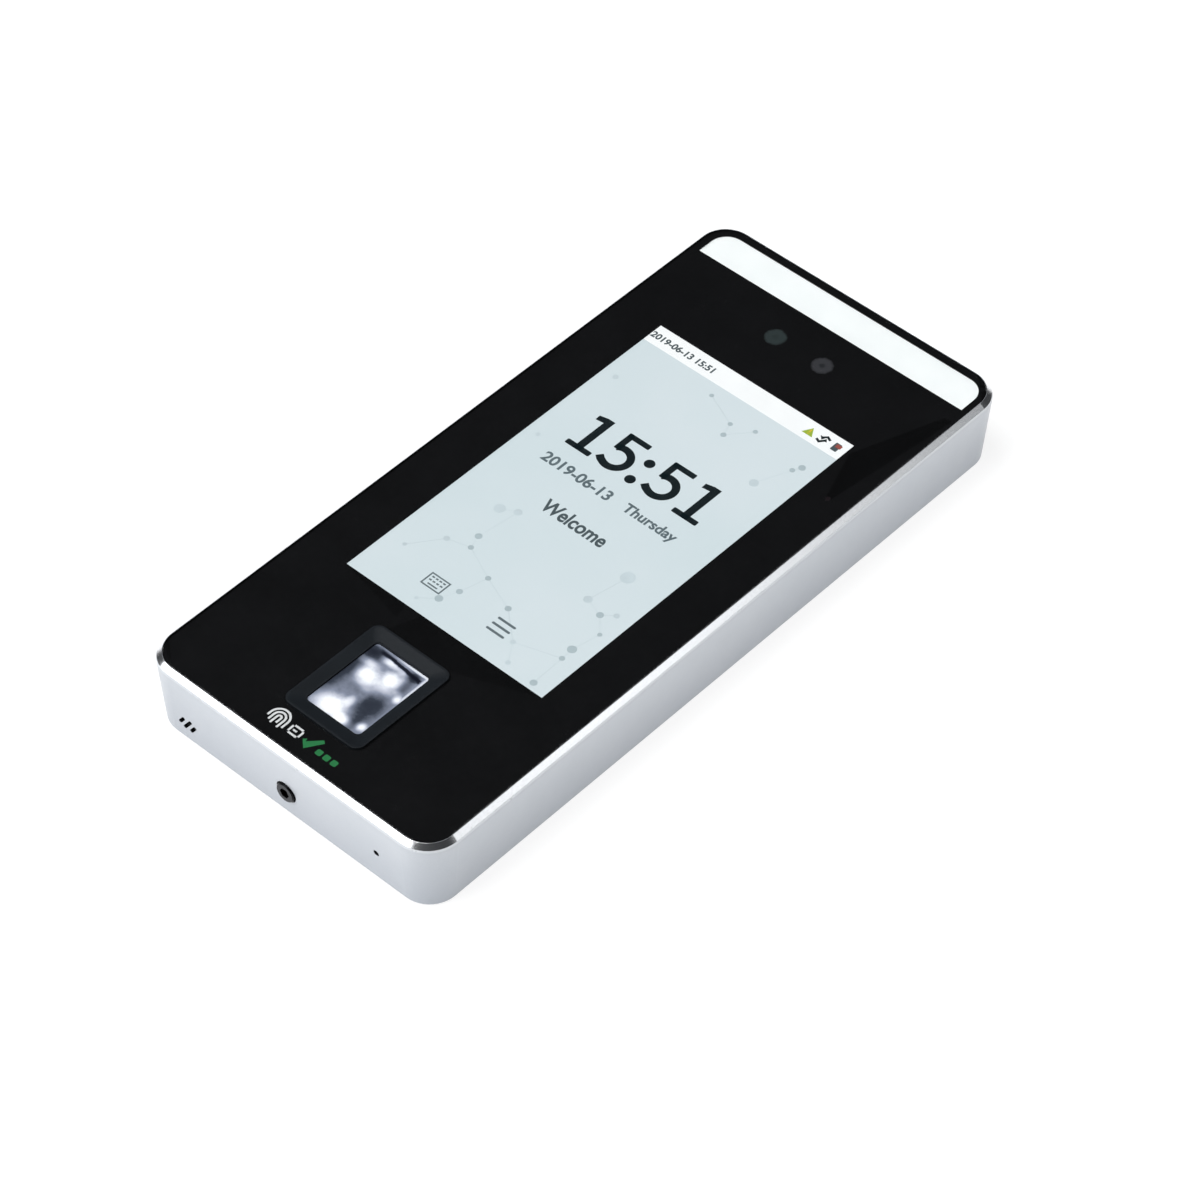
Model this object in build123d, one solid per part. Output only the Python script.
from build123d import *
import os

# ---------------------------------------------------------------------------
# Fingerprint and face access terminal, lying on its back.
# +Z comes out of the screen, +Y runs towards the camera end, +X to the right.
# All lengths in millimetres.
# ---------------------------------------------------------------------------

# --- driving dimensions ------------------------------------------------------
BODY_W = 92.0            # outer width of the silver frame
BODY_L = 203.0           # outer length of the silver frame
BODY_T = 21.5            # wall plate back to glass front
CORNER_R = 9.0           # plan radius of the frame's corners
BEVEL = 1.5              # polished bevel round the front edge: in from the wall,
BEVEL_DROP = 1.15        # and down from the top, with a soft turn below it
FRAME_LOW = 0.4          # the silver wall ends this far above the mounting plane
DRAFT = 1.3              # and leans in by this much on its way down
FRAME_TOP = 21.4
STEP_Z = 5.1             # above this the frame wall is thicker
LEDGE_Z = 20.3           # glass ledge
GLASS_T = 0.7
MASK_T = 0.2
DISP_X, DISP_Y0, DISP_Y1 = 31.05, -49.2, 61.1      # visible screen
STRIP_X, STRIP_Y0, STRIP_Y1, STRIP_R = 42.3, 88.0, 98.0, 5.2
CAM_X, CAM_Y, CAM_R = 7.5, 77.0, 3.0
DOT_X, DOT_Y, DOT_R = 37.9, 43.2, 0.7
FP_CY = -73.75           # centre of the fingerprint bezel
FP_W, FP_L = 24.1, 31.5  # bezel outline
FP_WIN_W, FP_WIN_L, FP_WIN_CY = 16.9, 23.5, -73.75
SCREW_Z = 7.75           # fixing screw axis above the mounting plane
SCREW_X = 0.0
PIN_X, PIN_Z, PIN_R = 28.6, 9.5, 0.85
SLOTS = ((-34.15, 6.05, 3.3), (-32.3, 5.75, 4.8), (-30.6, 5.2, 3.5))
SLOT_W, SLOT_TILT = 0.95, 55
BOARD_Z0, BOARD_Z1 = 11.7, 13.3
BAY_X, BAY_Y0, BAY_Y1 = 26.0, -12.0, 44.0
HEAD_FACE = -101.3       # end face of the fixing screw, 0.6 out of the leaning end wall
HALF_L = BODY_L / 2

os.makedirs("parts", exist_ok=True)
written = []


def out(name, shape):
    """One named piece; the origin is the bottom centre of the whole."""
    if isinstance(shape, (list, tuple)):
        shape = Compound(children=list(shape))
    export_step(shape, f"parts/{name}.step")
    written.append(name)


def slab(w, l, r, z0, z1, cx=0.0, cy=0.0):
    return Pos(cx, cy, z0) * extrude(RectangleRounded(w, l, r), z1 - z0)


def box(x0, x1, y0, y1, z0, z1):
    return Pos((x0 + x1) / 2, (y0 + y1) / 2, (z0 + z1) / 2) * Box(x1 - x0, y1 - y0, z1 - z0)


def cz(x, y, z0, z1, r):
    return Pos(x, y, (z0 + z1) / 2) * Cylinder(r, z1 - z0)


def cy(x, z, y0, y1, r):
    return Pos(x, (y0 + y1) / 2, z) * Rot(90, 0, 0) * Cylinder(r, y1 - y0)


def strip(w2, y0, y1, r, z0, z1):
    """The flash strip's outline: round top corners, square bottom corners."""
    tall = slab(2 * w2, 30, r, z0, z1, 0, y1 - 15)
    return tall & box(-w2 - 1, w2 + 1, y0, y1 + 1, z0 - 1, z1 + 1)


COVER_BOSSES = [(sx * 38.6, y) for sx in (-1, 1) for y in (-84.0, -8.0, 56.0, 88.0)]
PLATE_LUGS = [(sx * 41.0, y) for sx in (-1, 1) for y in (-42.0, 16.0, 66.0)]
BRACKET_LUGS = [(sx * 41.0, 76.5) for sx in (-1, 1)]
BOARD_POSTS = [(-19.5, -94.0), (19.5, -94.0)]
BOARD_SPACERS = [(-31.5, -50.0), (31.5, -50.0), (-31.5, 56.0), (31.5, 56.0), (-31.5, 0.0), (31.5, 0.0)]
WALL_HOLES = [(sx * 20.0, y) for sx in (-1, 1) for y in (-45.0, 65.0)]

# --- front frame: die-cast, satin silver, polished bevel ----------------------
def outline(inset, z):
    return Pos(0, 0, z) * RectangleRounded(BODY_W - 2 * inset, BODY_L - 2 * inset, CORNER_R - inset)


TURN_Z = FRAME_TOP - BEVEL_DROP
frame = loft([outline(DRAFT, FRAME_LOW), outline(0.0, TURN_Z - 0.55)])
frame += loft([outline(0.0, TURN_Z - 0.55), outline(0.20, TURN_Z)])
frame += loft([outline(0.20, TURN_Z), outline(BEVEL, FRAME_TOP)])
frame = frame - slab(88.9, 199.9, 7.45, LEDGE_Z, FRAME_TOP + 1)
frame = frame - slab(85.2, 196.4, 5.6, 18.9, LEDGE_Z + 0.01)
frame = frame - slab(86.4, 197.4, 6.2, STEP_Z, 18.91)
frame = frame - slab(88.2, 199.2, 7.1, FRAME_LOW - 1, STEP_Z + 0.001)
for x, y in COVER_BOSSES:
    s = 1 if x > 0 else -1
    frame += cz(x, y, STEP_Z, 17.6, 3.2)
    frame += box(min(x, s * 44.0), max(x, s * 44.0), y - 1.6, y + 1.6, STEP_Z, 17.6)
for x, y in PLATE_LUGS + BRACKET_LUGS:
    s = 1 if x > 0 else -1
    frame += box(min(s * 39.2, s * 44.0), max(s * 39.2, s * 44.0), y - 3.4, y + 3.4, 15.6, 18.95)
for x, y in BOARD_POSTS:
    frame += cz(x, y, BOARD_Z1, 18.9, 3.0)
    frame += box(x - 1.2, x + 1.2, -99.2, y, BOARD_Z1, 18.95)
for x, y in COVER_BOSSES:
    frame -= cz(x, y, STEP_Z - 0.5, 14.0, 1.25)
for x, y in PLATE_LUGS + BRACKET_LUGS:
    frame -= cz(x, y, 15.0, 18.4, 1.05)
for x, y in BOARD_POSTS:
    frame -= cz(x, y, BOARD_Z1 - 0.5, 17.0, 1.3)
# room for the rear shell's screw wall, then the holes in the bottom end wall
frame -= box(-10.6, 11.4, -99.9, -98.0, STEP_Z - 0.5, 13.6)
frame -= cy(SCREW_X, SCREW_Z, -HALF_L - 1, -99.0, 3.05)
frame -= cy(PIN_X, PIN_Z, -HALF_L - 1, -98.0, PIN_R)
for x, z, ln in SLOTS:
    frame -= (Pos(x, -100.0, z) * Rot(90, 0, 0) * Rot(0, 0, SLOT_TILT)
              * Pos(0, 0, -3) * extrude(SlotOverall(ln, SLOT_W), 6))
out("front_frame", frame)

# --- cover glass, black printed film behind it, adhesive ----------------------
glass = slab(88.7, 199.7, 7.35, BODY_T - GLASS_T, BODY_T)
glass = chamfer(glass.faces().sort_by(Axis.Z)[-1].edges(), 0.18)
glass -= slab(FP_W + 0.2, FP_L + 0.2, 2.6, 20.0, 22.0, 0, FP_CY)
out("front_glass", glass)

mask = slab(88.6, 199.6, 7.3, BODY_T - GLASS_T - MASK_T, BODY_T - GLASS_T)
mask -= slab(FP_W + 0.2, FP_L + 0.2, 2.6, 19.0, 22.0, 0, FP_CY)
mask -= box(-DISP_X, DISP_X, DISP_Y0, DISP_Y1, 19, 22)
mask -= strip(STRIP_X, STRIP_Y0, STRIP_Y1, STRIP_R, 19, 22)
for s in (-1, 1):
    mask -= cz(s * CAM_X, CAM_Y, 19, 22, CAM_R)
mask -= cz(DOT_X, DOT_Y, 19, 22, DOT_R)
out("glass_print_film", mask)

out("glass_adhesive", slab(88.5, 199.5, 7.2, LEDGE_Z, BODY_T - GLASS_T - MASK_T) - slab(85.6, 196.8, 5.8, 19, 21))

# --- flash strip --------------------------------------------------------------
out("flash_diffuser", strip(42.45, 87.4, 98.1, 5.4, 18.2, 20.55))
out("flash_board", box(-35.2, 35.2, 88.4, 95.6, 15.0, 16.0))
out("flash_leds", [box(x - 1.75, x + 1.75, 90.6, 93.4, 16.0, 16.8) for x in (-31.5, -22.5, -13.5, -4.5, 4.5, 13.5, 22.5, 31.5)])

# --- cameras ------------------------------------------------------------------
bracket = box(-42.4, 42.4, 70.0, 83.0, 14.4, 15.6)
bracket = fillet(bracket.edges().filter_by(Axis.Z), 1.5)
for s in (-1, 1):
    bracket -= box(s * CAM_X - 4.6, s * CAM_X + 4.6, CAM_Y - 4.6, CAM_Y + 4.6, 14, 16)
for x, y in BRACKET_LUGS:
    bracket -= cz(x, y, 14, 16, 1.15)
out("camera_bracket", bracket)
out("camera_board", box(-14.4, 14.4, 70.4, 82.6, 13.2, 14.2))
barrels, lenses = [], []
for side, s in (("color", -1), ("infrared", 1)):
    x = s * CAM_X
    body = box(x - 4.25, x + 4.25, CAM_Y - 4.25, CAM_Y + 4.25, 14.2, 17.0)
    body = chamfer(body.edges().filter_by(Axis.Z), 0.5)
    body -= cz(x, CAM_Y, 15.4, 18, 3.0)
    out(f"{side}_camera_module", body)
    barrel = cz(x, CAM_Y, 15.4, 19.9, 3.0) - cz(x, CAM_Y, 17.4, 21, 2.3)
    barrel -= cz(x, CAM_Y, 15.0, 17.5, 1.6)
    barrels.append(barrel)
    dome = cz(x, CAM_Y, 17.4, 19.4, 2.3)
    dome = fillet(dome.faces().sort_by(Axis.Z)[-1].edges(), 0.8)
    lenses.append(dome)
out("lens_barrels", barrels)
out("camera_lenses", lenses)
leds = []
for x in (-29.5, -21.5, 21.5, 29.5):
    one = box(x - 1.75, x + 1.75, CAM_Y - 1.75, CAM_Y + 1.75, 15.6, 16.6)
    one += cz(x, CAM_Y, 16.6, 17.5, 1.4)
    leds.append(one)
out("infrared_leds", leds)

# --- light sensor -------------------------------------------------------------
out("light_sensor", box(35.6, 40.8, 40.0, 45.6, 15.6, 17.2) + box(36.6, 39.8, 41.2, 44.4, 17.2, 18.4) + box(DOT_X - 1.3, DOT_X + 1.3, DOT_Y - 1.1, DOT_Y + 1.1, 18.4, 20.0))

# --- display ------------------------------------------------------------------
out("touch_sensor", box(-34.2, 34.2, -53.6, 64.0, 20.35, 20.55))
out("display_panel", box(-33.4, 33.4, -53.2, 63.6, 18.7, 20.15))
tray = slab(67.6, 119.6, 1.0, 15.6, 18.7, 0, 4.8) - box(-33.2, 33.2, -54.4, 64.0, 16.3, 19)
out("backlight_tray", tray)
out("light_guide", box(-33.1, 33.1, -54.3, 63.9, 16.3, 18.65))

midp = slab(77.0, 122.5, 2.0, 14.6, 15.6, 0, 8.25)
for x, y in PLATE_LUGS:
    s = 1 if x > 0 else -1
    midp += box(min(s * 36, s * 42.8), max(s * 36, s * 42.8), y - 3.2, y + 3.2, 14.6, 15.6)
midp += box(36, 41.6, 39.0, 46.4, 14.6, 15.6)
for x, y in COVER_BOSSES:
    midp -= cz(x, y, 14, 16, 3.6)
for x, y in PLATE_LUGS:
    midp -= cz(x, y, 14, 16, 1.15)
for x, y in BOARD_SPACERS:
    midp -= cz(x, y, 14, 16, 1.3)
midp -= slab(20, 6, 1.5, 14, 16, 0, -48.6)      # window over the display cable's socket
out("mid_plate", midp)
out("mid_plate_screws", [cz(x, y, 13.2, 14.6, 1.9) + cz(x, y, 14.6, 18.0, 1.0) for x, y in PLATE_LUGS]
    + [cz(x, y, 13.0, 14.4, 1.9) + cz(x, y, 14.4, 17.8, 1.0) for x, y in BRACKET_LUGS])

flex = box(-8, 8, -56.2, -53.2, 19.3, 19.5) + box(-8, 8, -56.2, -56.0, 13.9, 19.5) + box(-8, 8, -56.2, -50.4, 13.9, 14.1)
flex += box(-9, 9, -50.4, -47.0, BOARD_Z1, 14.5)                # its plug, pressed onto the board
out("display_cable", flex)

# --- fingerprint reader -------------------------------------------------------
bezel = slab(FP_W, FP_L, 2.5, 18.9, BODY_T, 0, FP_CY)
bezel += box(-15.6, 15.6, -91.7, -57.1, 18.9, 20.1)
bezel -= loft([Pos(0, FP_WIN_CY, 20.75) * RectangleRounded(FP_WIN_W + 0.8, FP_WIN_L + 0.8, 1.6),
               Pos(0, FP_CY, BODY_T + 0.01) * RectangleRounded(FP_W - 1.0, FP_L - 1.0, 2.0)])
bezel -= slab(FP_WIN_W, FP_WIN_L, 1.2, 18, 22, 0, FP_WIN_CY)
bezel -= box(-FP_WIN_W / 2, FP_WIN_W / 2, FP_WIN_CY - FP_WIN_L / 2, FP_WIN_CY + FP_WIN_L / 2, 18, 20.4)
for s in (-1, 1):
    bezel += box(min(s * 12.4, s * 15.4), max(s * 12.4, s * 15.4), -77.5, -70.5, 15.5, 18.95)
out("fingerprint_bezel", bezel)

prism_profile = Polyline((-85.45, 20.35), (-62.05, 20.35), (-62.05, 17.4), (-68.5, 12.8), (-85.45, 16.6), close=True)
prism = extrude(Plane.YZ.offset(-8.4) * make_face(prism_profile), 16.8)
out("fingerprint_prism", prism)
out("fingerprint_seal", slab(20.4, 26.0, 1.5, 18.2, 18.9, 0, FP_WIN_CY) - box(-8.45, 8.45, -85.5, -62.0, 18, 19))
fph = box(-12, 12, -88.2, -59.6, 7.6, 18.1)
fph = fillet(fph.edges().filter_by(Axis.Z), 1.0)
fph -= box(-10.8, 10.8, -87.0, -60.8, 8.8, 19)
for s in (-1, 1):
    fph += box(min(s * 11.5, s * 15.4), max(s * 11.5, s * 15.4), -77.0, -71.0, 14.3, 15.5)
    fph += box(min(s * 8.45, s * 10.9), max(s * 8.45, s * 10.9), -84, -64, 14.0, 17.0)
out("fingerprint_housing", fph)
out("fingerprint_board", box(-10.4, 10.4, -86.6, -61.2, 8.8, 9.8))
out("fingerprint_imager", box(-4, 4, -82.5, -74.5, 9.8, 11.6) + cz(0, -78.5, 11.6, 13.2, 2.6))
out("fingerprint_leds", [box(x - 0.8, x + 0.8, y - 0.5, y + 0.5, 9.8, 10.4) for x in (-7.5, 7.5) for y in (-83.5, -78, -72.5, -67)])

ant = box(-38, 38, -93.0, -56.4, 19.3, 20.1) - box(-16.4, 16.4, -93.1, -56.0, 19, 21)
ant += box(-38, 38, -96.6, -92.6, 19.3, 20.1)
out("card_antenna_board", ant)

# --- main board and what is on it --------------------------------------------
board = slab(69.6, 158.4, 2.0, BOARD_Z0, BOARD_Z1, 0, -17.2)
board -= box(-16.2, 16.2, -90.4, -56.8, 11, 14)
board -= box(-10.8, 11.6, -97.0, -90.0, 11, 14)
board -= box(5.8, 24.2, 25.6, 44.6, 11, 14)
for x, y in BOARD_SPACERS:
    board -= cz(x, y, 11, 14, 1.35)
for x, y in BOARD_POSTS:
    board -= cz(x, y, 11, 14, 1.35)
out("main_board", board)
out("board_spacers", [cz(x, y, BOARD_Z1, 14.6, 2.5) - cz(x, y, 13, 15, 1.3) for x, y in BOARD_SPACERS])
out("board_screws", [cz(x, y, 10.1, BOARD_Z0, 2.2) + cz(x, y, BOARD_Z0, 15.5, 1.25) for x, y in BOARD_SPACERS]
    + [cz(x, y, 10.1, BOARD_Z0, 2.2) + cz(x, y, BOARD_Z0, 15.5, 1.25) for x, y in BOARD_POSTS])

shield = box(-15, 15, -45.5, -15.5, 9.0, BOARD_Z0) - box(-14.7, 14.7, -45.2, -15.8, 9.3, 12)
out("processor_shield", shield)
out("processor", [box(-7.5, 7.5, -38, -23, 10.5, BOARD_Z0), box(-13.4, -9.4, -43, -32, 10.7, BOARD_Z0), box(9.4, 13.4, -43, -32, 10.7, BOARD_Z0)])
out("capacitors", [cz(x, y, 6.3, BOARD_Z0, 3.15) for x, y in ((-22.0, -19.5), (-30.0, -19.5), (-31.2, -10.2))])
out("coin_cell_holder", cz(-25, -33, 8.4, BOARD_Z0, 7.2) - cz(-25, -33, 8.0, 10.6, 6.3) - box(-21, -17, -36, -30, 8, 10.6))
out("coin_cell", cz(-25, -33, 8.5, 10.6, 6.2))
out("network_transformer", box(-8, 8, 47.5, 56.5, 6.2, BOARD_Z0))

# relay that works the door lock
case = box(19, 34, -36, -16, 4.6, BOARD_Z0) - box(19.7, 33.3, -35.3, -16.7, 5.3, 12)
out("relay_case", case)
out("relay_coil", cy(23.6, 7.8, -33.4, -23.0, 2.2))
out("relay_yoke", box(20.6, 26.6, -34.2, -23.4, 10.4, BOARD_Z0) + box(20.6, 26.6, -34.2, -33.4, 5.8, 11))
out("relay_armature", box(20.8, 26.4, -22.2, -21.4, 5.7, 10.2))

# network socket, sunk through the board, mouth towards -Y
jack = box(6.5, 23.5, 26.0, 44.0, 1.9, 13.4)
jack -= box(9.0, 21.0, 25.0, 41.0, 3.3, 10.6)
jack -= box(12.0, 18.0, 25.0, 38.0, 10.5, 12.3)
out("network_socket", jack)
out("network_contacts", [box(10.9 + 1.15 * i, 11.4 + 1.15 * i, 33.0, 41.0, 4.0, 4.5) for i in range(8)])

pins = []
shrouds = []


def header(x0, n, y0):
    """Open shroud with a row of pins, mouth towards the wall."""
    w = 2.5 * n + 2.4
    s = box(x0, x0 + w, y0, y0 + 6.0, 5.0, BOARD_Z0)
    s -= box(x0 + 0.7, x0 + w - 0.7, y0 + 0.7, y0 + 5.3, 4.5, 10.4)
    s -= box(x0 + w / 2 - 1.6, x0 + w / 2 + 1.6, y0 - 0.5, y0 + 1.0, 4.5, 8.6)
    shrouds.append(s)
    for i in range(n):
        px = x0 + 1.2 + 1.25 + 2.5 * i
        pins.append(box(px - 0.32, px + 0.32, y0 + 2.7, y0 + 3.34, 5.8, 10.4))


header(-24.6, 2, 36.0)      # power in
header(-14.6, 6, 36.0)      # lock, door sensor, exit button
header(-24.6, 5, 27.4)      # external reader
header(-7.6, 4, 27.4)       # serial line
out("wiring_headers", shrouds)
out("header_pins", pins)

# --- speaker ------------------------------------------------------------------
spk = box(-37.4, -22.2, -97.3, -88.0, 4.6, 10.6)
spk = fillet(spk.edges().filter_by(Axis.Y), 0.6)
spk -= box(-36.4, -23.2, -98.0, -89.0, 5.5, 9.7)
out("speaker_box", spk)
out("speaker_driver", cy(-31.6, 7.6, -95.6, -92.4, 2.0) + box(-36.3, -23.3, -92.4, -91.4, 5.55, 9.65))

# --- reset switch -------------------------------------------------------------
rs = box(PIN_X - 2.6, PIN_X + 2.6, -96.2, -92.4, 8.2, BOARD_Z0)
rs -= cy(PIN_X, PIN_Z, -97.0, -94.2, 0.84)
out("reset_switch", rs)
out("reset_plunger", cy(PIN_X, PIN_Z, -97.5, -94.9, 0.78))

# --- tamper switch ------------------------------------------------------------
TX, TY = -25.0, -53.0
ts = box(TX - 3.1, TX + 3.1, TY - 3.1, TY + 3.1, 8.0, BOARD_Z0) - cz(TX, TY, 7.0, 11.2, 1.55)
out("tamper_switch", ts)
tp = cz(TX, TY, 0.1, 9.4, 1.5)
tp = fillet(tp.faces().sort_by(Axis.Z)[0].edges(), 0.5)
out("tamper_plunger", tp)

# --- rear shell ---------------------------------------------------------------
rear = slab(85.6, 196.8, 7.0, 0.3, 2.6)
rear = chamfer(rear.faces().sort_by(Axis.Z)[0].edges(), 0.5)
rear += slab(88.0, 199.0, 7.1, 2.5, 4.5)
rear -= slab(82.6, 193.8, 5.5, 2.3, 6.0)
rear += box(-34.6, 34.6, -93.8, 81.8, 1.5, 3.6)
rear += box(-9.4, 10.2, -98.4, -93.0, 1.5, 3.6)
rear += slab(2 * BAY_X + 2.8, BAY_Y1 - BAY_Y0 + 2.8, 2.4, 1.5, 11.2, 0, (BAY_Y0 + BAY_Y1) / 2)
for x, y in WALL_HOLES:
    rear += cz(x, y, 3.5, 5.6, 6.2)
for x, y in COVER_BOSSES:
    rear += cz(x, y, 2.2, 5.0, 3.4)
rear += box(-9.6, 10.4, -99.5, -97.5, 2.6, 13.0)
rear += box(-9.6, -7.8, -98.0, -93.6, 2.6, 10.0) + box(8.6, 10.4, -98.0, -93.6, 2.6, 10.0)
rear -= slab(66.4, 172.4, 4.6, -1, 1.8, 0, -6.0)                 # recess for the wall plate
rear -= box(-8.0, 8.8, -97.5, -91.0, -1, 1.8)
rear -= box(-7.6, 8.4, -97.5, -95.0, 1.0, 12.9)                  # slot for the plate's tab
for x, y in WALL_HOLES:
    rear -= cz(x, y, 1.0, 4.2, 5.0)
for x in (-14.0, 14.0):
    rear -= box(x - 4.6, x + 4.6, 70.4, 76.4, 1.0, 4.5)          # slots for the hooks
rear -= slab(2 * BAY_X, BAY_Y1 - BAY_Y0, 1.2, -1, 12, 0, (BAY_Y0 + BAY_Y1) / 2)
for x, y in COVER_BOSSES:
    rear -= cz(x, y, -1, 2.8, 2.8)
    rear -= cz(x, y, 2.0, 6.0, 1.35)
rear -= cy(SCREW_X, SCREW_Z, -100.0, -97.0, 1.6)
rear -= cz(TX, TY, 0.0, 4.5, 1.9)
out("rear_shell", rear)
gasket = slab(87.8, 198.8, 7.0, 4.5, STEP_Z) - slab(85.0, 196.0, 5.8, 4, 6)
gasket -= box(-9.8, 10.6, -100, -97.0, 4, 6)
out("rear_gasket", gasket)
out("rear_shell_screws", [cz(x, y, 0.9, 2.8, 2.4) - cz(x, y, 0.5, 1.9, 1.0) + cz(x, y, 2.8, 12.5, 1.2) for x, y in COVER_BOSSES])
out("rating_label", box(-22, 22, 84.0, 94.5, 0.15, 0.3))

# --- wall plate with its hooks and screw tab ----------------------------------
wp = slab(65.0, 171.0, 4.0, 0.0, 1.5, 0, -6.0)
wp += box(-6.8, 7.6, -97.3, -90.0, 0.0, 1.5)
wp += box(-6.8, 7.6, -97.3, -95.8, 0.0, 12.7)
wp -= slab(54.0, 58.0, 2.0, -1, 3, 0, 16.0)
for x, y in WALL_HOLES:
    wp -= cz(x, y, -1, 3, 2.25)
wp -= cz(TX, TY, -1, 3, 3.0)
wp -= slab(30, 9, 4.49, -1, 3, 0, -62.0)
for x in (-14.0, 14.0):
    wp += box(x - 3.8, x + 3.8, 71.2, 72.7, 1.4, 5.6)
    wp += box(x - 3.8, x + 3.8, 71.2, 79.0, 4.1, 5.6)
wp -= cy(SCREW_X, SCREW_Z, -98.0, -95.0, 2.05)
out("wall_plate", wp)
nut = cy(SCREW_X, SCREW_Z, -97.3, -95.8, 2.0) + Pos(SCREW_X, -94.7, SCREW_Z) * Rot(90, 0, 0) * extrude(RegularPolygon(3.2, 6), 1.1, both=True)
nut -= cy(SCREW_X, SCREW_Z, -98, -93, 1.55)
out("plate_nut", nut)

# --- fixing screw: socket head, turned from the bottom end --------------------
head = cy(SCREW_X, SCREW_Z, HEAD_FACE, -99.5, 2.75)
head = chamfer(head.faces().sort_by(Axis.Y)[0].edges(), 0.3)
hexs = Pos(SCREW_X, HEAD_FACE + 0.4, SCREW_Z) * Rot(90, 0, 0) * extrude(RegularPolygon(1.27, 6, major_radius=False), 1.0, both=True)
screw = head - hexs + cy(SCREW_X, SCREW_Z, -99.5, -91.5, 1.5)
out("fixing_screw", screw)

print(len(written), "pieces")
